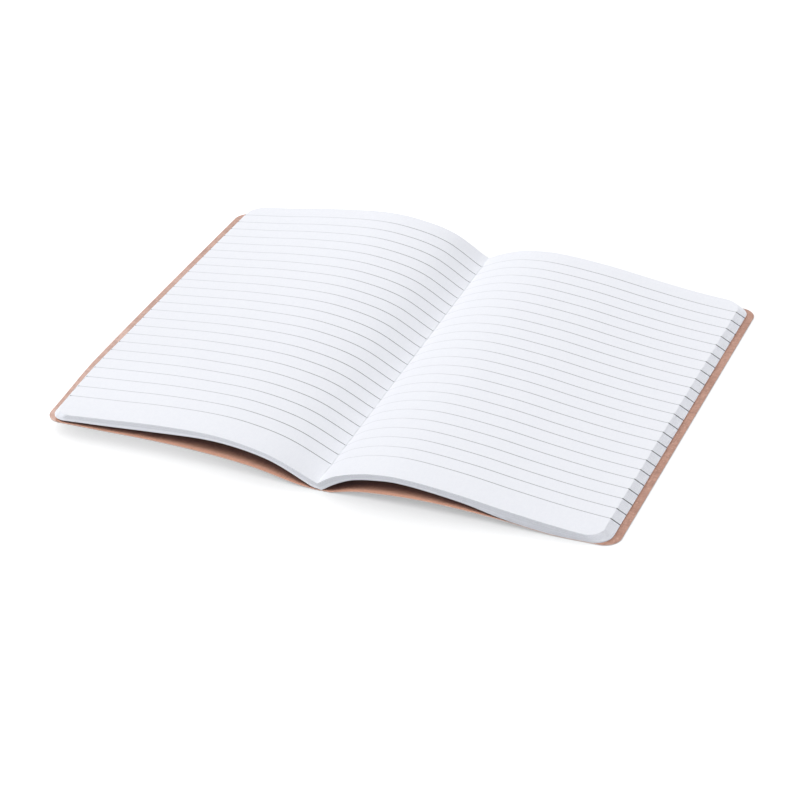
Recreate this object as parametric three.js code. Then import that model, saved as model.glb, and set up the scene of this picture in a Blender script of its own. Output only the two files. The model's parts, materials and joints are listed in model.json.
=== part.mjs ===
// A thread-sewn notebook with a plain brown card cover, lying open at its middle sheet.
// Millimetres, +Z up. X runs across the spread, Y along the spine, and the origin is
// the middle of the spine's underside, on the table. The right half lies on the table
// and its pages arch up from the fold. The left half stands a little higher.

import * as THREE from 'three';

// Whole book
const spineLength = 210;
const cornerRadius = 7.5;
const sheetCount = 20; // folded sheets, so twice as many leaves

// Card cover
const coverThickness = 0.4;
const spineFlatLeft = 4; // flat underside of the spine, to the left of the origin
const spineFlatRight = 3;
const hingeGap = 0.3; // between the spine strip and each cover board
const frontReach = 132; // from the origin to the front cover's fore-edge
const backReach = 130;

// Paper
const paperThickness = 0.09;
const foldStart = -0.6; // the lowest fold, a little left of the origin
const foldLean = 0.1; // each higher fold sits this much further left
const foldRise = 0.102; // air between two sheets at the fold, at mid spine
const foldTwist = 0.042; // what the far end adds to that air
const foldGap = 0.3; // between the two leaves of one sheet, at the fold
const stackClearance = 0.2; // between the lowest sheet and the cover
const gutterEnd = 5; // leaves run straight from the fold to here
const edgeInset = { left: 2.6, right: 3.2 }; // cover that shows beyond the lowest leaf
const edgeStep = { left: 0.15, right: 0.21 }; // each higher leaf ends this much sooner

// Thread
const threadRadius = 0.11;
const threadInset = 8; // from the spine's ends
const grooveWidth = 0.6; // in the spine's underside, for the outer thread
const grooveDepth = 0.26;

// Shape of each half, as the book lies. A place is a share of the half's reach, a
// height is of the underside at mid spine, and twist is what the far end adds.
const backCoverCurve = [
  { place: 0.024, height: 0, twist: 0 },
  { place: 0.13, height: 3, twist: 0 },
  { place: 0.3, height: 4.6, twist: 0 },
  { place: 0.45, height: 4.3, twist: 0 },
  { place: 0.62, height: 2.7, twist: 0 },
  { place: 0.75, height: 0.7, twist: 0 },
  { place: 0.82, height: 0, twist: 0 },
  { place: 1, height: 0, twist: 0 },
];
const frontCoverCurve = [
  { place: 0.031, height: 0, twist: 0 },
  { place: 0.09, height: 0.9, twist: 0 },
  { place: 0.25, height: 5.3, twist: 0 },
  { place: 0.43, height: 7.9, twist: 0 },
  { place: 0.61, height: 9.3, twist: -0.1 },
  { place: 0.79, height: 9.5, twist: -0.3 },
  { place: 1, height: 9.3, twist: -0.6 },
];
const rightStackCurve = [
  { place: 0.038, height: 4.5, twist: 0.2, air: 0.115 },
  { place: 0.087, height: 7.8, twist: 0.2, air: 0.065 },
  { place: 0.15, height: 9.8, twist: 0.1, air: 0.06 },
  { place: 0.26, height: 11, twist: -0.1, air: 0.05 },
  { place: 0.45, height: 8.3, twist: -0.1, air: 0.075 },
  { place: 0.62, height: 4.2, twist: -0.1, air: 0.11 },
  { place: 0.78, height: 1.7, twist: -0.1, air: 0.09 },
  { place: 0.92, height: 0.6, twist: 0, air: 0.06 },
  { place: 1, height: 0.5, twist: 0, air: 0.045 },
];
const leftStackCurve = [
  { place: 0.038, height: 2.2, twist: 0.9, air: 0.08 },
  { place: 0.085, height: 5.9, twist: 1.5, air: 0.075 },
  { place: 0.13, height: 9.5, twist: 2, air: 0.06 },
  { place: 0.22, height: 13.8, twist: 2.1, air: 0.045 },
  { place: 0.38, height: 16.4, twist: 1.8, air: 0.06 },
  { place: 0.61, height: 14.6, twist: 0.8, air: 0.1 },
  { place: 0.79, height: 12.6, twist: 0, air: 0.08 },
  { place: 1, height: 10.2, twist: -0.7, air: 0.055 },
];

// How finely the curves are cut
const panelSteps = 15;
const cornerSteps = 5;
const stepCrowding = 1.35; // above 1, steps are closer near the spine

const cardFront = new THREE.MeshStandardMaterial({ color: 0xc9a294, roughness: 0.85, metalness: 0 });
const cardBack = new THREE.MeshStandardMaterial({ color: 0xbd9585, roughness: 0.85, metalness: 0 });
const cardSpine = new THREE.MeshStandardMaterial({ color: 0xc39b8b, roughness: 0.85, metalness: 0 });
const ruledPaper = new THREE.MeshStandardMaterial({ color: 0xf1f2f6, roughness: 0.75, metalness: 0 });
const whiteThread = new THREE.MeshStandardMaterial({ color: 0xf4f2ec, roughness: 0.7, metalness: 0 });

const halfLength = spineLength / 2;

// A smooth curve through the knots' values of one key, with the place scaled by reach
function smoothCurve(knots, key, reach) {
  const x = knots.map((knot) => knot.place * reach);
  const v = knots.map((knot) => knot[key]);
  const slope = x.map((_, i) => {
    const a = Math.max(i - 1, 0);
    const b = Math.min(i + 1, x.length - 1);
    return (v[b] - v[a]) / (x[b] - x[a]);
  });
  return (at) => {
    let i = 0;
    while (i < x.length - 2 && at > x[i + 1]) i += 1;
    const span = x[i + 1] - x[i];
    const t = THREE.MathUtils.clamp((at - x[i]) / span, 0, 1);
    const rise = (v[i + 1] - v[i]) * t * t * (3 - 2 * t);
    const bend = t * (1 - t) * span * (slope[i] * (1 - t) - slope[i + 1] * t);
    return v[i] + rise + bend;
  };
}

// Distances from the spine where a panel is cut: closer near the spine, and following
// the arc of the rounded corners at the fore-edge
function panelStations(start, end) {
  const arcStart = end - cornerRadius;
  const stations = [];
  for (let i = 0; i <= panelSteps; i += 1) {
    const share = (i / panelSteps) ** stepCrowding;
    stations.push({ out: start + (arcStart - start) * share, half: halfLength });
  }
  for (let i = 1; i <= cornerSteps; i += 1) {
    const angle = (i / cornerSteps) * (Math.PI / 2);
    stations.push({
      out: arcStart + cornerRadius * Math.sin(angle),
      half: halfLength - cornerRadius * (1 - Math.cos(angle)),
    });
  }
  return stations;
}

// A thin closed panel: side is +1 to the right of the spine and -1 to the left, and
// underside(out, along) gives the height, with along from -1 (near end) to 1 (far end)
function thinPanel(side, stations, underside, thickness) {
  const positions = [];
  stations.forEach(({ out, half }) => {
    [0, thickness].forEach((lift) => {
      [-half, half].forEach((y) => {
        positions.push(side * out, y, underside(out, y / halfLength) + lift);
      });
    });
  });
  const faces = [];
  const quad = (a, b, c, d) => {
    const turned = side > 0 ? [a, b, c, a, c, d] : [a, c, b, a, d, c];
    faces.push(...turned);
  };
  const last = (stations.length - 1) * 4;
  for (let i = 0; i < last; i += 4) {
    quad(i, i + 1, i + 5, i + 4); // underside
    quad(i + 2, i + 6, i + 7, i + 3); // upper face
    quad(i, i + 4, i + 6, i + 2); // near edge
    quad(i + 1, i + 3, i + 7, i + 5); // far edge
  }
  quad(0, 2, 3, 1); // edge at the spine
  quad(last, last + 1, last + 3, last + 2); // fore-edge
  const geometry = new THREE.BufferGeometry();
  geometry.setAttribute('position', new THREE.Float32BufferAttribute(positions, 3));
  geometry.setIndex(faces);
  geometry.computeVertexNormals();
  return geometry;
}

function coverBoard(name, side, reach, flat, knots, material) {
  const height = smoothCurve(knots, 'height', reach);
  const twist = smoothCurve(knots, 'twist', reach);
  const underside = (out, along) => height(out) + along * twist(out);
  const stations = panelStations(flat + hingeGap / 2, reach);
  const board = new THREE.Mesh(thinPanel(side, stations, underside, coverThickness), material);
  board.name = name;
  return board;
}

// Sheets are counted from the lowest, which lies on the cover, to the middle one.
// Each leaf runs straight from the fold to the gutter's end, then follows its stack.
function foldPlace(level, along) {
  return {
    x: foldStart - level * foldLean,
    z: coverThickness + stackClearance + level * (paperThickness + foldRise + along * foldTwist),
  };
}

function leaf(name, side, level, reach, inset, step, knots) {
  const height = smoothCurve(knots, 'height', reach);
  const twist = smoothCurve(knots, 'twist', reach);
  const air = smoothCurve(knots, 'air', reach);
  const onStack = (out, along) =>
    height(out) + along * twist(out) + level * (paperThickness + air(out));
  const start = side * foldPlace(level, 0).x + foldGap / 2;
  const underside = (out, along) => {
    if (out >= gutterEnd) return onStack(out, along);
    const share = (out - start) / (gutterEnd - start);
    return THREE.MathUtils.lerp(foldPlace(level, along).z, onStack(gutterEnd, along), share);
  };
  const stations = [
    { out: start, half: halfLength },
    ...panelStations(gutterEnd, reach - inset - level * step),
  ];
  const page = new THREE.Mesh(thinPanel(side, stations, underside, paperThickness), ruledPaper);
  page.name = name;
  return page;
}

// The card strip under the folds, with a shallow groove that the outer thread lies in
function coverSpine() {
  const groove = foldStart;
  const outline = new THREE.Shape([
    new THREE.Vector2(-spineFlatLeft + hingeGap / 2, 0),
    new THREE.Vector2(groove - grooveWidth / 2, 0),
    new THREE.Vector2(groove - grooveWidth / 2, grooveDepth),
    new THREE.Vector2(groove + grooveWidth / 2, grooveDepth),
    new THREE.Vector2(groove + grooveWidth / 2, 0),
    new THREE.Vector2(spineFlatRight - hingeGap / 2, 0),
    new THREE.Vector2(spineFlatRight - hingeGap / 2, coverThickness),
    new THREE.Vector2(-spineFlatLeft + hingeGap / 2, coverThickness),
  ]);
  const geometry = new THREE.ExtrudeGeometry(outline, { depth: spineLength, bevelEnabled: false });
  geometry.rotateX(Math.PI / 2);
  const strip = new THREE.Mesh(geometry, cardSpine);
  strip.position.y = halfLength;
  strip.name = 'cover_spine';
  return strip;
}

// One straight run of sewing thread along the fold, inside the gutter or in the groove.
// Rise is how much higher the spine's far end lies there than its middle.
function threadRun(name, x, z, rise) {
  const length = spineLength - 2 * threadInset;
  const run = new THREE.Mesh(new THREE.CylinderGeometry(threadRadius, threadRadius, length, 8), whiteThread);
  run.position.set(x, 0, z);
  run.rotation.x = Math.atan(rise / halfLength);
  run.name = name;
  return run;
}

const notebook = new THREE.Group();
notebook.add(coverBoard('front_cover', -1, frontReach, spineFlatLeft, frontCoverCurve, cardFront));
notebook.add(coverBoard('back_cover', 1, backReach, spineFlatRight, backCoverCurve, cardBack));
notebook.add(coverSpine());

for (let level = 0; level < sheetCount; level += 1) {
  const number = String(sheetCount - level).padStart(2, '0'); // sheet 01 is the middle one
  notebook.add(leaf(`sheet_${number}_left_leaf`, -1, level, frontReach, edgeInset.left,
    edgeStep.left, leftStackCurve));
  notebook.add(leaf(`sheet_${number}_right_leaf`, 1, level, backReach, edgeInset.right,
    edgeStep.right, rightStackCurve));
}

const innermost = foldPlace(sheetCount - 1, 0);
const innermostRise = foldPlace(sheetCount - 1, 1).z - innermost.z;
const threadLift = foldGap / 2 + paperThickness + threadRadius; // clear of both leaves' corners
notebook.add(threadRun('gutter_thread', innermost.x, innermost.z + threadLift, innermostRise));
notebook.add(threadRun('spine_thread', foldStart, grooveDepth / 2, 0));

export default notebook;
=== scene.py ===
import json
import math

import bpy
import numpy as np
from mathutils import Matrix, Vector

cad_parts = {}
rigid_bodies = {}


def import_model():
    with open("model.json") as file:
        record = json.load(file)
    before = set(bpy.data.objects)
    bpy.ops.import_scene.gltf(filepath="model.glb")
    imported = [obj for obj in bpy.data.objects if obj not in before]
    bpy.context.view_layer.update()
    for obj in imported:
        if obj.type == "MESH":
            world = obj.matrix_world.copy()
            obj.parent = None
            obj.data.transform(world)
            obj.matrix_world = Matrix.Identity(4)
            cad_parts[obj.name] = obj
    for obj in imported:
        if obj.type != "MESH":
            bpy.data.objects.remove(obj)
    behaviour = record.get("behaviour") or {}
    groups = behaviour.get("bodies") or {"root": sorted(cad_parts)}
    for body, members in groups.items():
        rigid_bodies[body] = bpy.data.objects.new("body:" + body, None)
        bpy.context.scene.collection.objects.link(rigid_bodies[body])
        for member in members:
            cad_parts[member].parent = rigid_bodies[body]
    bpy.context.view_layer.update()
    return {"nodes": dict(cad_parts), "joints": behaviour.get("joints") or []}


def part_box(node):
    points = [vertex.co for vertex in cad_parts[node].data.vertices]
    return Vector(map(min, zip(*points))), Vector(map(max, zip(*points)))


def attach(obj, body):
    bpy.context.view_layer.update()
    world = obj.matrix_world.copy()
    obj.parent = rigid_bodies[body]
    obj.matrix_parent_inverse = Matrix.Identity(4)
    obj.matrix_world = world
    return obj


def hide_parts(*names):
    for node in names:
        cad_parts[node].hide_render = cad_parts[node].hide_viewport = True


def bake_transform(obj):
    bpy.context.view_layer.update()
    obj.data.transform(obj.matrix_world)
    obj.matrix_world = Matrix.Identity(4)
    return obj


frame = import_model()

print("frame loaded:", len(frame["nodes"]), "nodes")


# Camera: the eye's direction and distance from a point on the table between the halves
cameraView = {
    "azimuth": 22.564,
    "elevation": 30.862,
    "roll": -1.694,
    "distance": 1.3349,
    "target": (0.00299, -0.02416, 0.0),
    "focalLength": 135.23,
    "sensor": 36.0,
    "clip": (0.05, 20.0),
}


def placeCamera(view):
    azimuth, elevation, roll = (math.radians(view[key]) for key in ("azimuth", "elevation", "roll"))
    back = Vector((math.sin(azimuth) * math.cos(elevation),
                   -math.cos(azimuth) * math.cos(elevation), math.sin(elevation)))
    level = Vector((math.cos(azimuth), math.sin(azimuth), 0.0))
    upright = back.cross(level)
    right = math.cos(roll) * level + math.sin(roll) * upright
    up = math.cos(roll) * upright - math.sin(roll) * level
    lens = bpy.data.cameras.new("camera")
    lens.lens = view["focalLength"]
    lens.sensor_width = view["sensor"]
    lens.clip_start, lens.clip_end = view["clip"]
    camera = bpy.data.objects.new("camera", lens)
    bpy.context.scene.collection.objects.link(camera)
    turn = Matrix((right, up, back)).transposed().to_4x4()
    place = Vector(view["target"]) + back * view["distance"]
    camera.matrix_world = Matrix.Translation(place) @ turn
    bpy.context.scene.camera = camera


placeCamera(cameraView)
print("camera placed")


# Shared surface maths

hardEdge = math.radians(40)  # a skin's sharper bends keep a hard edge


def smoothThrough(at, knots, values):
    # a Hermite curve through the knots, each knot's slope taken from its neighbours
    slope = np.gradient(values, knots)
    i = np.clip(np.searchsorted(knots, at) - 1, 0, len(knots) - 2)
    span = knots[i + 1] - knots[i]
    t = (at - knots[i]) / span
    rise = values[i] + (values[i + 1] - values[i]) * t * t * (3 - 2 * t)
    return rise + t * (1 - t) * span * (slope[i] * (1 - t) - slope[i + 1] * t)


def smoothStep(t):
    # 0 below 0, 1 above 1, and an S between them
    t = np.clip(t, 0, 1)
    return t * t * (3 - 2 * t)


def readProfile(node, side):
    # The CAD panel's underside as curves across the spread: its height half way along the
    # spine, and what the far end adds to it. Stations run outwards from the spine, so they
    # are X to the right (side 1) and -X to the left (side -1).
    mesh = frame["nodes"][node].data
    co = np.empty(len(mesh.vertices) * 3, np.float32)
    mesh.vertices.foreach_get("co", co)
    co = co.reshape(-1, 3).astype(float)
    out = np.round(side * co[:, 0], 6)
    stations, group = np.unique(out, return_inverse=True)
    near = np.full(len(stations), np.inf)
    far = np.full(len(stations), np.inf)
    half = np.zeros(len(stations))
    np.minimum.at(near, group[co[:, 1] < 0], co[co[:, 1] < 0, 2])
    np.minimum.at(far, group[co[:, 1] > 0], co[co[:, 1] > 0, 2])
    np.maximum.at(half, group, co[:, 1])
    share = half / half.max()
    return {
        "out": stations,
        "height": (near + far) / 2,
        "twist": (far - near) / 2 / share,
        "half": half.max(),
        "reach": stations[-1],
    }


def addPiece(name, points, faces):
    mesh = bpy.data.meshes.new(name)
    mesh.from_pydata(points.tolist(), [], faces)
    mesh.update()
    mesh.shade_smooth()
    piece = bpy.data.objects.new(name, mesh)
    bpy.context.scene.collection.objects.link(piece)
    return piece


def keepNormals(mesh):
    # the normals at rest, by which the finishes tell a cut edge from a face in every pose
    normals = np.empty(len(mesh.loops) * 3, np.float32)
    mesh.corner_normals.foreach_get("vector", normals)
    kept = mesh.attributes.new("restNormal", "FLOAT_VECTOR", "CORNER")
    kept.data.foreach_set("vector", normals)


def closedSkin(name, under, upper):
    # two grids of points, rows across the spread and columns along the spine, joined all
    # round their rims into one closed skin
    rows, columns = under.shape[:2]
    index = np.arange(rows * columns).reshape(rows, columns)
    low, high = index, index + rows * columns

    def quads(a, b, c, d):
        return np.stack([a, b, c, d], -1).reshape(-1, 4)

    faces = np.concatenate([
        quads(high[:-1, :-1], high[1:, :-1], high[1:, 1:], high[:-1, 1:]),
        quads(low[:-1, :-1], low[:-1, 1:], low[1:, 1:], low[1:, :-1]),
        quads(low[:-1, 0], low[1:, 0], high[1:, 0], high[:-1, 0]),
        quads(low[1:, -1], low[:-1, -1], high[:-1, -1], high[1:, -1]),
        quads(low[0, 1:], low[0, :-1], high[0, :-1], high[0, 1:]),
        quads(low[-1, :-1], low[-1, 1:], high[-1, 1:], high[-1, :-1]),
    ])
    points = np.concatenate([under.reshape(-1, 3), upper.reshape(-1, 3)])
    piece = addPiece(name, points, faces.tolist())
    piece.data.set_sharp_from_angle(angle=hardEdge)
    keepNormals(piece.data)
    return piece


def panelStations(start, reach, radius, steps, arcSteps, crowding):
    # distances from the spine, closer near it, then following the rounded corner; inset
    # is what the corner takes off each end
    share = np.linspace(0, 1, steps) ** crowding
    angle = np.linspace(0, math.pi / 2, arcSteps + 1)[1:]
    out = np.concatenate([start + (reach - radius - start) * share,
                          reach - radius + radius * np.sin(angle)])
    inset = np.concatenate([np.zeros(steps), radius * (1 - np.cos(angle))])
    return out, inset


def rowPlaces(count, rim):
    # places along the spine from -1 to 1, with one extra row close to each end
    inner = np.linspace(-1 + rim, 1 - rim, count)
    return np.concatenate([[-1], inner, [1]])


# The fold: the half turns about the spine hinge, and card and paper bend over this stretch
spineHinge = next(joint for joint in frame["joints"] if joint["name"] == "spine_fold")

# The left half's outer part isn't straight along the spine: it stands highest nearer than
# half way, drops to both corners and leans out a little where it is highest. Places along
# the spine run from -1 to 1.
leftBelly = {
    "start": 0.045,
    "full": 0.11,
    "height": 0.0021,
    "solidShare": 0.48,  # share of the height that the straight CAD panels have already
    "lean": 0.0006,
    "crest": -0.5,
    "nearRise": 0.48,
    "fallPower": 1.5,
    "pageTuck": 0.0011,  # how far the pages stay back from the cover's outer edge
    "tuckStart": -0.95,
    "tuckRise": 0.75,
}


def addBelly(points, half, tuck=0.0):
    # height = share across the spread x (profile along the spine - its mean), where the
    # profile rises smoothly from the near end and falls as 1 - t^power to the far end; tuck
    # pulls the outer edge back, least at the near end
    belly = leftBelly
    out = -points[..., 0]
    along = points[..., 1] / half
    share = smoothStep((out - belly["start"]) / (belly["full"] - belly["start"]))
    rise = smoothStep((along - belly["crest"] + belly["nearRise"]) / belly["nearRise"])
    beyond = np.clip(along - belly["crest"], 0, None) / (1 - belly["crest"])
    profile = rise * (1 - beyond ** belly["fallPower"])
    tucked = smoothStep((along - belly["tuckStart"]) / belly["tuckRise"])
    points[..., 2] += share * belly["height"] * (profile - belly["solidShare"])
    points[..., 0] -= share * belly["lean"] * profile
    points[..., 0] += share * tuck * tucked


# Materials: effects shared by card and paper are node groups

def feed(tree, socket, value):
    # a socket takes a link from another node or a plain value
    if isinstance(value, bpy.types.NodeSocket):
        tree.links.new(value, socket)
    else:
        socket.default_value = value


def addMath(tree, operation, first, second=None):
    node = tree.nodes.new("ShaderNodeMath")
    node.operation = operation
    feed(tree, node.inputs[0], first)
    if second is not None:
        feed(tree, node.inputs[1], second)
    return node.outputs[0]


def addMix(tree, factor, first, second):
    node = tree.nodes.new("ShaderNodeMix")
    node.data_type = "RGBA"
    feed(tree, node.inputs["Factor"], factor)
    feed(tree, node.inputs[6], first)  # sockets 6 and 7 take the two colours
    feed(tree, node.inputs[7], second)
    return node.outputs[2]


def addRange(tree, value, low, high, newLow=0.0, newHigh=1.0):
    # newLow up to low, newHigh from high on, and an S between them
    node = tree.nodes.new("ShaderNodeMapRange")
    node.interpolation_type = "SMOOTHSTEP"
    for label, number in (("Value", value), ("From Min", low), ("From Max", high),
                          ("To Min", newLow), ("To Max", newHigh)):
        feed(tree, node.inputs[label], number)
    return node.outputs["Result"]


def addNoise(tree, vector, scale, detail, distortion=0.0):
    node = tree.nodes.new("ShaderNodeTexNoise")
    for label, value in (("Vector", vector), ("Scale", scale), ("Detail", detail),
                         ("Distortion", distortion)):
        feed(tree, node.inputs[label], value)
    return node.outputs["Fac"]


def pickAxis(tree, vector, axis):
    split = tree.nodes.new("ShaderNodeSeparateXYZ")
    tree.links.new(vector, split.inputs[0])
    return split.outputs[axis]


def objectPlace(tree):
    return tree.nodes.new("ShaderNodeTexCoord").outputs["Object"]


def newGroup(name, inputs, outputs):
    group = bpy.data.node_groups.new(name, "ShaderNodeTree")
    for label, value in inputs.items():
        socket = group.interface.new_socket(label, in_out="INPUT", socket_type="NodeSocketFloat")
        socket.default_value = value
    for label in outputs:
        group.interface.new_socket(label, in_out="OUTPUT", socket_type="NodeSocketFloat")
    return group, group.nodes.new("NodeGroupInput"), group.nodes.new("NodeGroupOutput")


def makeRulingGroup():
    # a mask of printed lines across the spread, spaced along the object's Y: the distance
    # to a line = pitch x |fraction of (Y - first) / pitch + 1/2, less 1/2|
    group, given, made = newGroup("printedRuling", {
        "First": -0.0892,
        "Pitch": 0.008,
        "Count": 24.0,
        "Half Width": 0.00012,
        "Softness": 0.00006,
    }, ["Mask"])
    pitch, halfWidth, softness = (given.outputs[key] for key in ("Pitch", "Half Width", "Softness"))
    along = addMath(group, "SUBTRACT", pickAxis(group, objectPlace(group), "Y"),
                    given.outputs["First"])
    shifted = addMath(group, "ADD", addMath(group, "DIVIDE", along, pitch), 0.5)
    offLine = addMath(group, "SUBTRACT", addMath(group, "FRACT", shifted), 0.5)
    distance = addMath(group, "MULTIPLY", addMath(group, "ABSOLUTE", offLine), pitch)
    inner = addMath(group, "SUBTRACT", halfWidth, softness)
    outer = addMath(group, "ADD", halfWidth, softness)
    line = addRange(group, distance, inner, outer, 1.0, 0.0)
    started = addMath(group, "GREATER_THAN", shifted, 0.0)
    ended = addMath(group, "LESS_THAN", shifted, given.outputs["Count"])
    counted = addMath(group, "MULTIPLY", started, ended)
    group.links.new(addMath(group, "MULTIPLY", line, counted), made.inputs["Mask"])
    return group


# Pulp fibres: fine stretched noise in two directions, with a cloudier tone and pale flecks
pulp = {
    "strands": ((0.4, (1.0, 0.22, 1.0)), (-0.9, (0.25, 1.0, 1.0))),  # each one's turn and stretch
    "strandDetail": 3,
    "strandDistortion": 0.6,
    "cloudDetail": 4,
    "fleckScale": 0.6,  # of the strands' scale
    "fleckEdge": (0.1, 0.32),
}


def makeFibreGroup(look):
    group, given, made = newGroup("pulpFibres", {"Scale": 1000.0, "Cloud Scale": 60.0},
                                  ["Fibre", "Cloud", "Fleck"])
    place = objectPlace(group)
    strands = []
    for angle, stretch in look["strands"]:
        turn = group.nodes.new("ShaderNodeMapping")
        turn.inputs["Rotation"].default_value = (0, 0, angle)
        turn.inputs["Scale"].default_value = stretch
        group.links.new(place, turn.inputs["Vector"])
        strands.append(addNoise(group, turn.outputs["Vector"], given.outputs["Scale"],
                                look["strandDetail"], look["strandDistortion"]))
    fibre = addMath(group, "MULTIPLY", addMath(group, "ADD", *strands), 0.5)
    cloud = addNoise(group, place, given.outputs["Cloud Scale"], look["cloudDetail"])
    cells = group.nodes.new("ShaderNodeTexVoronoi")
    group.links.new(place, cells.inputs["Vector"])
    group.links.new(addMath(group, "MULTIPLY", given.outputs["Scale"], look["fleckScale"]),
                    cells.inputs["Scale"])
    fleck = addRange(group, cells.outputs["Distance"], *look["fleckEdge"], 1.0, 0.0)
    for label, value in (("Fibre", fibre), ("Cloud", cloud), ("Fleck", fleck)):
        group.links.new(value, made.inputs[label])
    return group


rulingGroup = makeRulingGroup()
fibreGroup = makeFibreGroup(pulp)
cutEdge = {"upright": 0.4, "flat": 0.8}  # size of the rest normal's Z on cut edges and on faces


def newMaterial(name):
    material = bpy.data.materials.new(name)
    material.use_nodes = True
    tree = material.node_tree
    return material, tree, tree.nodes["Principled BSDF"]


def useGroup(tree, group, **values):
    node = tree.nodes.new("ShaderNodeGroup")
    node.node_tree = group
    for label, value in values.items():
        node.inputs[label.replace("_", " ")].default_value = value
    return node


def readAttribute(tree, name, output="Fac"):
    node = tree.nodes.new("ShaderNodeAttribute")
    node.attribute_name = name
    return node.outputs[output]


def restNormal(tree, axis):
    return pickAxis(tree, readAttribute(tree, "restNormal", "Vector"), axis)


def addRimMask(tree):
    # 1 on faces that stand upright while the book lies open, 0 on those that lie flat
    level = addMath(tree, "ABSOLUTE", restNormal(tree, "Z"))
    return addRange(tree, level, cutEdge["upright"], cutEdge["flat"], 1.0, 0.0)


def addOpenness(tree, reach, samples=12):
    # 1 out in the open, and less where other surfaces within reach stand over the place
    nearby = tree.nodes.new("ShaderNodeAmbientOcclusion")
    nearby.samples = samples
    nearby.inputs["Distance"].default_value = reach
    return nearby.outputs["AO"]


def addBump(tree, shader, height, strength, distance):
    bump = tree.nodes.new("ShaderNodeBump")
    bump.inputs["Strength"].default_value = strength
    bump.inputs["Distance"].default_value = distance
    tree.links.new(height, bump.inputs["Height"])
    tree.links.new(bump.outputs["Normal"], shader.inputs["Normal"])


# Writing paper: bluish white, grey printed lines on every page, with painted light paling them
# where the open page slopes to the left; at the fore-edge they add up to ticks. Cut edges carry
# painted shade, with painted light where they turn left. Slopes are the rest normal's X.
paperLook = {
    "white": (0.868, 0.877, 0.915, 1),
    "shade": (0.835, 0.845, 0.888, 1),
    "fibreScale": 1900.0,
    "cloudScale": 45.0,
    "fibreContrast": (0.35, 0.65),
    # cut edges: painted shade of the stack's edge, towards cutLight where painted light falls
    "cutPaintedShade": (0.60, 0.61, 0.64, 1),
    "cutLight": (0.87, 0.88, 0.915, 1),
    "leftLitCut": (-0.12, -0.4),  # slopes from which cut edges that turn left get painted light
    "foreLitCut": (0.8, 0.97),  # the same painted light on the right, where the near corner keeps its painted shade
    "litEdgeEnds": (-0.1, 0.06),  # the painted light on the right fore-edge grows between these places
    "litEdgeShare": (0.0, 0.5),
    "ink": (0.13, 0.135, 0.15, 1),
    "lineWidth": 0.00037,
    "lineSoftness": 0.00005,
    "linePitch": 0.008027,
    "firstLine": -0.08918,
    "lineCount": 24,
    # painted light: the ink pales on slopes that face left
    "paleSlope": -0.25,
    "fullSlope": 0.34,
    "paleInk": 0.26,
    "inkBreaks": (0.3, 0.5),  # fibre tones at which the ink is thin and full
    "thinInk": 0.8,
    "tickInk": (0.025, 0.028, 0.035, 1),
    "tickWidth": 0.0006,
    "roughness": 0.78,
    "reflection": 0.3,
    "bump": 0.25,
    "bumpDepth": 0.00002,
}


def addRuling(tree, look, width):
    return useGroup(tree, rulingGroup, First=look["firstLine"], Pitch=look["linePitch"],
                    Count=float(look["lineCount"]), Half_Width=width / 2,
                    Softness=look["lineSoftness"]).outputs["Mask"]


def makePaper(look):
    paper, tree, shader = newMaterial("ruledPaper")
    pulpNode = useGroup(tree, fibreGroup, Scale=look["fibreScale"], Cloud_Scale=look["cloudScale"])
    fibre = pulpNode.outputs["Fibre"]
    face = addMix(tree, addRange(tree, fibre, *look["fibreContrast"]), look["shade"], look["white"])
    slope = restNormal(tree, "X")
    # cut edges: each leaf's tone with painted shade, and painted light where they turn left and on
    # the far part of the right fore-edge
    cut = addMix(tree, readAttribute(tree, "cutToneAndPaintedLight"), look["cutPaintedShade"], look["cutLight"])
    cut = addMix(tree, addRange(tree, slope, *look["leftLitCut"]), cut, look["cutLight"])
    farEdgeLight = addRange(tree, pickAxis(tree, objectPlace(tree), "Y"), *look["litEdgeEnds"],
                       *look["litEdgeShare"])
    foreEdge = addMath(tree, "MULTIPLY", addRange(tree, slope, *look["foreLitCut"]), farEdgeLight)
    cut = addMix(tree, foreEdge, cut, look["cutLight"])
    base = addMix(tree, addRimMask(tree), face, cut)
    # painted light: the lines pale where the page slopes to the left
    inked = addRange(tree, slope, look["paleSlope"], look["fullSlope"], look["paleInk"], 1.0)
    broken = addRange(tree, fibre, *look["inkBreaks"], look["thinInk"], 1.0)
    line = addMath(tree, "MULTIPLY", addRuling(tree, look, look["lineWidth"]),
                   addMath(tree, "MULTIPLY", inked, broken))
    lined = addMix(tree, line, base, look["ink"])
    tick = addMath(tree, "MULTIPLY", addRuling(tree, look, look["tickWidth"]),
                   readAttribute(tree, "foreEdge"))
    tree.links.new(addMix(tree, tick, lined, look["tickInk"]), shader.inputs["Base Color"])
    shader.inputs["Roughness"].default_value = look["roughness"]
    shader.inputs["Specular IOR Level"].default_value = look["reflection"]
    addBump(tree, shader, fibre, look["bump"], look["bumpDepth"])
    return paper


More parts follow.
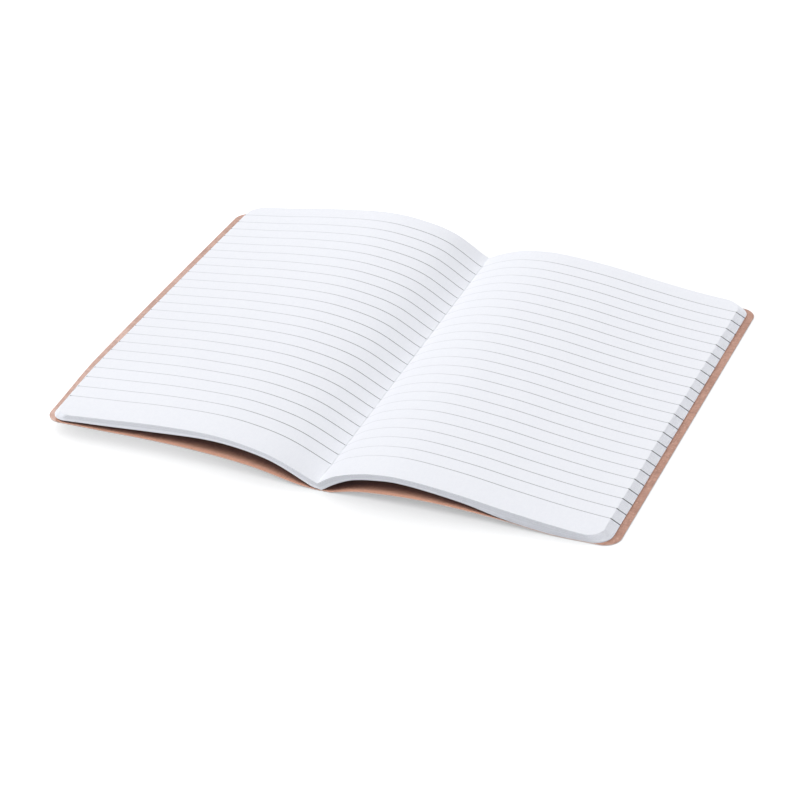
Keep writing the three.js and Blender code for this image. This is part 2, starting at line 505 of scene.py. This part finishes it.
# Cover card: brown uncoated board with visible pulp and a pale core at its cut edges. Under the
# pages it carries painted shade, darkest far in, and a painted light rim where light would reach
# in.
cardLook = {
    "brown": (0.50, 0.255, 0.178, 1),
    "darkBrown": (0.335, 0.158, 0.107, 1),
    "fibreScale": 900.0,
    "cloudScale": 120.0,
    "fibreContrast": (0.34, 0.6),
    "cloudContrast": (0.3, 0.7),
    "cloudShare": 0.35,
    "paleFleck": (0.68, 0.42, 0.32, 1),
    "fleckShare": 0.45,
    "core": (0.50, 0.43, 0.40, 1),
    "shadeReach": 0.04,  # how far off the pages over it still darken the card, as painted shade
    "paintedShadeBrown": (0.055, 0.010, 0.009, 1),
    "deepShade": 0.86,
    "deepEnds": (0.08, 0.36),  # openness from the darkest place to the end of the painted shade
    # painted light: the orange rim of the card just inside the opening under the pages
    "litRim": (0.95, 0.51, 0.355, 1),
    "litShare": 0.9,
    "litStart": (0.26, 0.38),
    "litEnd": (0.5, 0.62),
    "bounceGrey": (0.40, 0.41, 0.44, 1),  # keeps the floor's shadows free of brown light
    "bounceShare": 0.8,
    "roughness": 0.4,
    "roughnessSpread": 0.06,
    "reflection": 0.9,
    "bump": 0.6,
    "bumpDepth": 0.00005,
}


def makeCard(look):
    card, tree, shader = newMaterial("brownCard")
    pulpNode = useGroup(tree, fibreGroup, Scale=look["fibreScale"], Cloud_Scale=look["cloudScale"])
    fibre, cloud, fleck = (pulpNode.outputs[key] for key in ("Fibre", "Cloud", "Fleck"))
    board = addMix(tree, addRange(tree, fibre, *look["fibreContrast"]), look["darkBrown"],
                   look["brown"])
    board = addMix(tree, addRange(tree, cloud, *look["cloudContrast"], 0.0, look["cloudShare"]),
                   board, look["darkBrown"])
    board = addMix(tree, addMath(tree, "MULTIPLY", fleck, look["fleckShare"]), board,
                   look["paleFleck"])
    # painted shade under the pages and a painted light rim near the opening, by how much stands
    # over the card
    openness = addOpenness(tree, look["shadeReach"])
    underPageShade = addRange(tree, openness, *look["deepEnds"], look["deepShade"], 0.0)
    board = addMix(tree, underPageShade, board, look["paintedShadeBrown"])
    lit = addMath(tree, "MULTIPLY",
                  addRange(tree, openness, *look["litStart"], 0.0, look["litShare"]),
                  addRange(tree, openness, *look["litEnd"], 1.0, 0.0))
    board = addMix(tree, lit, board, look["litRim"])
    board = addMix(tree, addRimMask(tree), board, look["core"])
    path = tree.nodes.new("ShaderNodeLightPath")
    bounced = addMath(tree, "MULTIPLY", path.outputs["Is Diffuse Ray"], look["bounceShare"])
    tree.links.new(addMix(tree, bounced, board, look["bounceGrey"]), shader.inputs["Base Color"])
    rough = addRange(tree, cloud, *look["cloudContrast"],
                     look["roughness"] - look["roughnessSpread"],
                     look["roughness"] + look["roughnessSpread"])
    tree.links.new(rough, shader.inputs["Roughness"])
    shader.inputs["Specular IOR Level"].default_value = look["reflection"]
    addBump(tree, shader, fibre, look["bump"], look["bumpDepth"])
    return card


# Cotton thread: near white, with a fine fuzz
threadLook = {
    "light": (0.87, 0.875, 0.90, 1),
    "dark": (0.74, 0.745, 0.77, 1),
    "fuzzScale": 6000.0,
    "fuzzDetail": 3,
    "fuzzContrast": (0.35, 0.65),
    "roughness": 0.65,
    "sheen": 0.3,
    "bump": 0.4,
    "bumpDepth": 0.00002,
}


def makeThreadFinish(look):
    finish, tree, shader = newMaterial("cottonThread")
    fuzz = addNoise(tree, objectPlace(tree), look["fuzzScale"], look["fuzzDetail"])
    tone = addRange(tree, fuzz, *look["fuzzContrast"])
    tree.links.new(addMix(tree, tone, look["dark"], look["light"]), shader.inputs["Base Color"])
    shader.inputs["Roughness"].default_value = look["roughness"]
    shader.inputs["Sheen Weight"].default_value = look["sheen"]
    addBump(tree, shader, fuzz, look["bump"], look["bumpDepth"])
    return finish


ruledPaper = makePaper(paperLook)
brownCard = makeCard(cardLook)
cottonThread = makeThreadFinish(threadLook)
print("materials made")


# Cover card: one sheet of board from fore-edge to fore-edge, creased at the spine
coverCard = {
    "thickness": 0.0004,
    "cornerRadius": 0.0075,
    "steps": 90,
    "arcSteps": 12,
    "crowding": 1.2,
    "rows": 28,
    "rim": 0.002,
    "edgeSoftening": 0.00012,
    "softeningSegments": 2,
    "softeningAngle": 60,
    "grooveHalfWidth": 0.0007,
    "grooveDepth": 0.00026,
    "backExtra": 0.0004,  # how much further the back reaches than its CAD board
}


def makeCover(card):
    # underside height = the CAD board's curve + its twist x place along the spine; the
    # three CAD strips are joined through the flat stretch between them
    front, back = readProfile("front_cover", -1), readProfile("back_cover", 1)
    knotX = np.concatenate([-front["out"][::-1], [0.0], back["out"]])
    knotZ = np.concatenate([front["height"][::-1], [0.0], back["height"]])
    knotTwist = np.concatenate([front["twist"][::-1], [0.0], back["twist"]])
    half = back["half"]
    shape = [card[key] for key in ("cornerRadius", "steps", "arcSteps", "crowding")]
    outLeft, insetLeft = panelStations(0.0, front["reach"], *shape)
    outRight, insetRight = panelStations(0.0, back["reach"] + card["backExtra"], *shape)
    x = np.concatenate([-outLeft[::-1], outRight[1:]])
    inset = np.concatenate([insetLeft[::-1], insetRight[1:]])
    y = (half - inset)[:, None] * rowPlaces(card["rows"], card["rim"])[None, :]
    across = np.broadcast_to(x[:, None], y.shape)
    height = np.maximum(smoothThrough(x, knotX, knotZ), 0.0)
    twist = smoothThrough(x, knotX, knotTwist)
    z = height[:, None] + twist[:, None] * y / half
    threadX = (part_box("spine_thread")[0].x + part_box("spine_thread")[1].x) / 2
    groove = card["grooveDepth"] * (1 - smoothStep(np.abs(x - threadX) / card["grooveHalfWidth"]))
    under = np.stack([across, y, z + groove[:, None]], -1)
    upper = np.stack([across, y, z + card["thickness"]], -1)
    addBelly(under, half)
    addBelly(upper, half)
    cover = closedSkin("cover_card", under, upper)
    soften = cover.modifiers.new("softEdge", "BEVEL")
    soften.width = card["edgeSoftening"]
    soften.segments = card["softeningSegments"]
    soften.limit_method = "ANGLE"
    soften.angle_limit = math.radians(card["softeningAngle"])
    cover.data.materials.append(brownCard)
    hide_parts("front_cover", "back_cover", "cover_spine")
    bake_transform(cover)


makeCover(coverCard)
print("cover made")


# Pages: folded sheets, each one surface from its left fore-edge over the fold to the right
pageStack = {
    "sheets": 20,
    "topThickness": 0.0001,
    "fill": 0.9,  # share of the space up to the next sheet that the paper takes
    "thinnest": 0.00007,
    "thickest": 0.00019,
    "cornerRadius": 0.0075,
    "steps": 64,
    "arcSteps": 9,
    "crowding": 1.3,
    "rows": 22,
    "rim": 0.004,
    "raggedness": 0.0001,
    "foldDip": 0.00002,
    "rootOverlap": 0.00008,  # how far the turning leaf's root laps over the fold
    "tickDepth": 0.0005,  # how far the fore-edge ticks reach into each leaf
    "foreEdgeSlant": 0.0009,  # how much further out the right stack's lowest leaf reaches
    "recess": 0.001,  # how far the lowest right leaves stay back
    "recessedLeaves": 3,
    "beddedLeaves": 7,  # lowest leaves on the right that sag on to the cover
    "beddingStart": 0.066,
    "beddingFull": 0.092,
    "beddingPower": 1.6,
    "beddingGap": 0.00003,
}

# How light each leaf's cut edge is, from 0 to 1: painted light low in the stack, a tone that
# differs from leaf to leaf, and painted shade on the right half
edgeToneAndPaintedLight = {
    "top": 0.25,
    "rise": 0.55,
    "riseStart": 0.35,  # depth in the stack, from 0 to 1
    "riseSpan": 0.5,
    "spread": 0.22,
    "rightPaintedShade": 0.48,
    "dropStart": -0.01,
    "dropSpan": 0.02,
}
pageRandom = np.random.default_rng(11)


def leafName(number, side):
    return f"sheet_{number:02d}_{side}_leaf"


def bedLeaf(stack, number, out, height, twist):
    # the lowest leaves give up a growing share of the air between the stack and the cover
    lowest, cover = readProfile(leafName(stack["sheets"], "right"), 1), readProfile("back_cover", 1)
    place = np.clip(out, cover["out"][0], lowest["reach"])
    sag = smoothStep((out - stack["beddingStart"]) / (stack["beddingFull"] - stack["beddingStart"]))
    rank = (number - stack["sheets"] + stack["beddedLeaves"]) / stack["beddedLeaves"]
    share = sag * max(rank, 0.0) ** stack["beddingPower"]
    air, lean = (smoothThrough(place, lowest["out"], lowest[key])
                 - smoothThrough(place, cover["out"], cover[key]) for key in ("height", "twist"))
    air = air - coverCard["thickness"] - stack["beddingGap"]
    return height - share * air, twist - share * lean


def leafSurface(stack, number, side):
    # underside and thickness of one leaf, outwards from its fold: the CAD leaf's curves, and
    # a share of the space up to the next leaf
    sign = 1 if side == "right" else -1
    profile = readProfile(leafName(number, side), sign)
    reach = profile["reach"]
    if side == "right":
        reach += stack["foreEdgeSlant"] * (number - 1) / (stack["sheets"] - 1)
        reach -= stack["recess"] * (number > stack["sheets"] - stack["recessedLeaves"])
    out, inset = panelStations(profile["out"][0], reach, stack["cornerRadius"],
                               stack["steps"], stack["arcSteps"], stack["crowding"])
    place = np.minimum(out, profile["reach"])
    height = smoothThrough(place, profile["out"], profile["height"])
    twist = smoothThrough(place, profile["out"], profile["twist"])
    if number == 1:
        thickness = np.full(len(out), stack["topThickness"])
    else:
        above = readProfile(leafName(number - 1, side), sign)
        roof = smoothThrough(np.minimum(out, above["reach"]), above["out"], above["height"])
        thickness = np.clip((roof - height) * stack["fill"], stack["thinnest"], stack["thickest"])
    if side == "right":
        height, twist = bedLeaf(stack, number, out, height, twist)
    return {"out": out, "inset": inset, "height": height, "twist": twist, "thickness": thickness,
            "half": profile["half"]}


def addFloat(mesh, name, values):
    mesh.attributes.new(name, "FLOAT", "POINT").data.foreach_set("value", values)


def makeSheetPiece(stack, name, x, inset, height, twist, thickness, half, tone):
    # height + twist x place along the spine; both ends stand out by a hair's breadth
    tickShare = np.zeros(len(x))
    for edge in (x[0], x[-1]):
        if abs(edge) > stack["cornerRadius"]:  # not the fold of a single leaf
            # full over half the ticks' depth, then fading out
            tickShare += 1 - smoothStep((np.abs(x - edge) / stack["tickDepth"] - 0.5) * 2)
    along = rowPlaces(stack["rows"], stack["rim"])
    near, far = pageRandom.uniform(-1, 0, 2) * stack["raggedness"]
    y = (half - inset)[:, None] * along[None, :]
    y = y - near * (along == -1) + far * (along == 1)
    across = np.broadcast_to(x[:, None], y.shape)
    z = height[:, None] + twist[:, None] * y / half
    under = np.stack([across, y, z], -1)
    upper = np.stack([across, y, z + thickness[:, None]], -1)
    addBelly(under, half, leftBelly["pageTuck"])
    addBelly(upper, half, leftBelly["pageTuck"])
    piece = closedSkin(name, under, upper)
    # painted shade on the right half of each cut edge
    rightShade = edgeToneAndPaintedLight["rightPaintedShade"] * smoothStep((x - edgeToneAndPaintedLight["dropStart"]) / edgeToneAndPaintedLight["dropSpan"])
    for label, values in (("foreEdge", tickShare), ("cutToneAndPaintedLight", np.clip(tone - rightShade, 0, 1))):
        addFloat(piece.data, label, np.tile(np.repeat(values, len(along)), 2))
    piece.data.materials.append(ruledPaper)
    return piece


def makePages(stack):
    for number in range(1, stack["sheets"] + 1):
        left, right = leafSurface(stack, number, "left"), leafSurface(stack, number, "right")
        leftX, rightX = -left["out"][::-1], right["out"]
        foldX = (leftX[-1] + rightX[0]) / 2
        foldZ = min(left["height"][0], right["height"][0]) - stack["foldDip"]
        foldThickness = min(left["thickness"][0], right["thickness"][0])
        depth = (number - 1) / (stack["sheets"] - 1)
        # painted light lower in the stack, and a random tone per leaf
        lowness = smoothStep((depth - edgeToneAndPaintedLight["riseStart"]) / edgeToneAndPaintedLight["riseSpan"])
        tone = edgeToneAndPaintedLight["top"] + edgeToneAndPaintedLight["rise"] * lowness
        tone += pageRandom.uniform(-edgeToneAndPaintedLight["spread"], edgeToneAndPaintedLight["spread"])
        shared = {"half": left["half"], "tone": tone}
        parts = {
            "x": [leftX, [foldX], rightX],
            "inset": [left["inset"][::-1], [0.0], right["inset"]],
            "height": [left["height"][::-1], [foldZ], right["height"]],
            "twist": [left["twist"][::-1], right["twist"][:1], right["twist"]],
            "thickness": [left["thickness"][::-1], [foldThickness], right["thickness"]],
        }
        if number == 1:
            leftParts = {key: np.concatenate(value[:2]) for key, value in parts.items()}
            page = makeSheetPiece(stack, "middle_sheet_left", **leftParts, **shared)
            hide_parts(leafName(1, "left"))
            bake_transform(page)
            # the turning leaf's root laps over the fold on to the left leaf
            root = {"x": foldX - stack["rootOverlap"], "inset": 0.0,
                    "height": foldZ + foldThickness, "twist": right["twist"][0],
                    "thickness": foldThickness}
            rightParts = {key: np.concatenate([[root[key]], value[2]])
                          for key, value in parts.items()}
            turning = makeSheetPiece(stack, "middle_sheet_right", **rightParts, **shared)
            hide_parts(leafName(1, "right"))
            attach(turning, "turning_leaf")
        else:
            whole = {key: np.concatenate(value) for key, value in parts.items()}
            page = makeSheetPiece(stack, f"folded_sheet_{number:02d}", **whole, **shared)
            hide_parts(leafName(number, "left"), leafName(number, "right"))
            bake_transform(page)


makePages(pageStack)
print("pages made")


# Sewing thread: two plies twisted along a running stitch
sewing = {
    "plyRadius": 0.000075,
    "twistRadius": 0.00006,
    "twistLength": 0.0009,
    "stitchLength": 0.0065,
    "holeShare": 0.12,
    "holeDepth": 0.0005,
    "step": 0.00012,
    "sides": 6,
}


def tubeAlong(path, radius, sides):
    # rings of points round the path, each in the plane square to it
    tangent = np.gradient(path, axis=0)
    tangent /= np.linalg.norm(tangent, axis=1)[:, None]
    sideways = np.cross(tangent, np.array([0.0, 0.0, 1.0]))
    sideways /= np.linalg.norm(sideways, axis=1)[:, None]
    upward = np.cross(sideways, tangent)
    angle = np.linspace(0, 2 * math.pi, sides, endpoint=False)
    ring = (np.cos(angle)[None, :, None] * sideways[:, None, :]
            + np.sin(angle)[None, :, None] * upward[:, None, :]) * radius
    points = (path[:, None, :] + ring).reshape(-1, 3)
    index = np.arange(len(path) * sides).reshape(len(path), sides)
    turned = np.roll(index, -1, axis=1)
    faces = np.stack([index[:-1], turned[:-1], turned[1:], index[1:]], -1).reshape(-1, 4).tolist()
    faces += [index[0][::-1].tolist(), index[-1].tolist()]
    return points, faces


def makeThread(name, node, thread, inward):
    # each ply winds round the CAD run, a straight rod that may rise along the spine, and
    # dips inward at the holes
    low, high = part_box(node)
    centreX = (low.x + high.x) / 2
    y = np.arange(low.y, high.y, thread["step"])
    radius = (high.x - low.x) / 2
    centreZ = np.interp(y, [low.y, high.y], [low.z + radius, high.z - radius])
    phase = (y - low.y) / thread["stitchLength"]
    nearHole = 1 - smoothStep(np.abs(phase - np.round(phase)) / thread["holeShare"])
    points, faces = [], []
    for ply in (0, math.pi):
        turn = 2 * math.pi * y / thread["twistLength"] + ply
        path = np.stack([centreX + thread["twistRadius"] * np.cos(turn), y,
                         centreZ + thread["twistRadius"] * np.sin(turn)
                         + inward * thread["holeDepth"] * nearHole], -1)
        plyPoints, plyFaces = tubeAlong(path, thread["plyRadius"], thread["sides"])
        offset = sum(len(group) for group in points)
        faces += [[corner + offset for corner in face] for face in plyFaces]
        points.append(plyPoints)
    piece = addPiece(name, np.concatenate(points), faces)
    piece.data.materials.append(cottonThread)
    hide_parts(node)
    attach(piece, spineHinge["parent"])


makeThread("gutter_stitches", "gutter_thread", sewing, inward=-1)
makeThread("spine_stitches", "spine_thread", sewing, inward=1)
print("thread made")


# Studio: a white floor, a sky that is brightest high in front, and a small lamp behind the
# left that gives the card its sheen
studio = {
    "floorSize": 8.0,
    "floorDrop": 0.00005,
    "floorRoughness": 0.9,
    "floorBounce": (0.6, 0.61, 0.63, 1),
    "floorSeen": (0.62, 0.62, 0.62, 1),
    "glowColour": (1.0, 1.0, 1.0, 1),
    "glowLeft": 0.72,  # keeps the shadows on the seen floor pale, most on the left
    "glowRight": 0.45,
    "glowEnds": (-0.09, 0.02),
    "nearReach": 0.07,  # how far from the book the seen floor gets a painted shadow
    "nearShade": 0.8,
    "nearEnds": (0.55, 0.98),
    "skyColour": (0.985, 0.99, 1.0, 1),
    "skyHorizon": 0.33,
    "skyTop": 3.62,
    "skyFocus": 7.0,
    "skyBrightest": (-0.08, -0.55, 0.83),
    "lampPlace": (-0.85, 0.95, 0.6),
    "lampSize": 0.35,
    "lampPower": 2.6,
}


def seenDirectly(tree):
    # 1 for the camera and for what it sees in mirrors and glass, 0 for light that bounces
    path = tree.nodes.new("ShaderNodeLightPath")
    mirrored = addMath(tree, "MAXIMUM", path.outputs["Is Glossy Ray"],
                       path.outputs["Is Transmission Ray"])
    return addMath(tree, "MAXIMUM", path.outputs["Is Camera Ray"], mirrored)


def makeFloor(setup):
    half = setup["floorSize"] / 2
    mesh = bpy.data.meshes.new("floor")
    level = -setup["floorDrop"]
    mesh.from_pydata([(-half, -half, level), (half, -half, level), (half, half, level),
                      (-half, half, level)], [], [(0, 1, 2, 3)])
    floor = bpy.data.objects.new("floor", mesh)
    bpy.context.scene.collection.objects.link(floor)
    finish, tree, shader = newMaterial("studioFloor")
    seen = seenDirectly(tree)
    # painted shadow on the seen floor near the book, by how much stands over it
    paintedFloorShadow = addRange(tree, addOpenness(tree, setup["nearReach"]), *setup["nearEnds"],
                      setup["nearShade"], 1.0)
    nearSeen = addMix(tree, paintedFloorShadow, (0, 0, 0, 1), setup["floorSeen"])
    tree.links.new(addMix(tree, seen, setup["floorBounce"], nearSeen), shader.inputs["Base Color"])
    shader.inputs["Roughness"].default_value = setup["floorRoughness"]
    shader.inputs["Specular IOR Level"].default_value = 0.0
    shader.inputs["Emission Color"].default_value = setup["glowColour"]
    glow = addRange(tree, pickAxis(tree, objectPlace(tree), "X"), *setup["glowEnds"],
                    setup["glowLeft"], setup["glowRight"])
    tree.links.new(addMath(tree, "MULTIPLY", seen, addMath(tree, "MULTIPLY", glow, paintedFloorShadow)),
                   shader.inputs["Emission Strength"])
    floor.data.materials.append(finish)


def makeSky(setup):
    # light from a direction = horizon + top x (its cosine to the brightest place) ^ focus;
    # the camera sees plain white
    world = bpy.data.worlds.new("studioSky")
    world.use_nodes = True
    tree = world.node_tree
    sky = tree.nodes["Background"]
    sky.inputs["Color"].default_value = setup["skyColour"]
    direction = tree.nodes.new("ShaderNodeTexCoord").outputs["Generated"]
    cosine = tree.nodes.new("ShaderNodeVectorMath")
    cosine.operation = "DOT_PRODUCT"
    cosine.inputs[1].default_value = Vector(setup["skyBrightest"]).normalized()
    tree.links.new(direction, cosine.inputs[0])
    upward = addMath(tree, "MAXIMUM", cosine.outputs["Value"], 0.0)
    focused = addMath(tree, "POWER", upward, setup["skyFocus"])
    lobe = addMath(tree, "MULTIPLY", focused, setup["skyTop"])
    light = addMath(tree, "ADD", lobe, setup["skyHorizon"])
    seen = seenDirectly(tree)
    hidden = addMath(tree, "MULTIPLY", light, addMath(tree, "SUBTRACT", 1.0, seen))
    tree.links.new(addMath(tree, "ADD", hidden, seen), sky.inputs["Strength"])
    bpy.context.scene.world = world


def makeLamp(setup):
    lamp = bpy.data.lights.new("softBox", "AREA")
    lamp.shape = "SQUARE"
    lamp.size = setup["lampSize"]
    lamp.energy = setup["lampPower"]
    box = bpy.data.objects.new("softBox", lamp)
    place = Vector(setup["lampPlace"])
    aim = (-place).to_track_quat("-Z", "Y")
    box.matrix_world = Matrix.Translation(place) @ aim.to_matrix().to_4x4()
    bpy.context.scene.collection.objects.link(box)


makeFloor(studio)
makeSky(studio)
makeLamp(studio)
bpy.context.scene.view_settings.view_transform = "Standard"
print("studio lit")
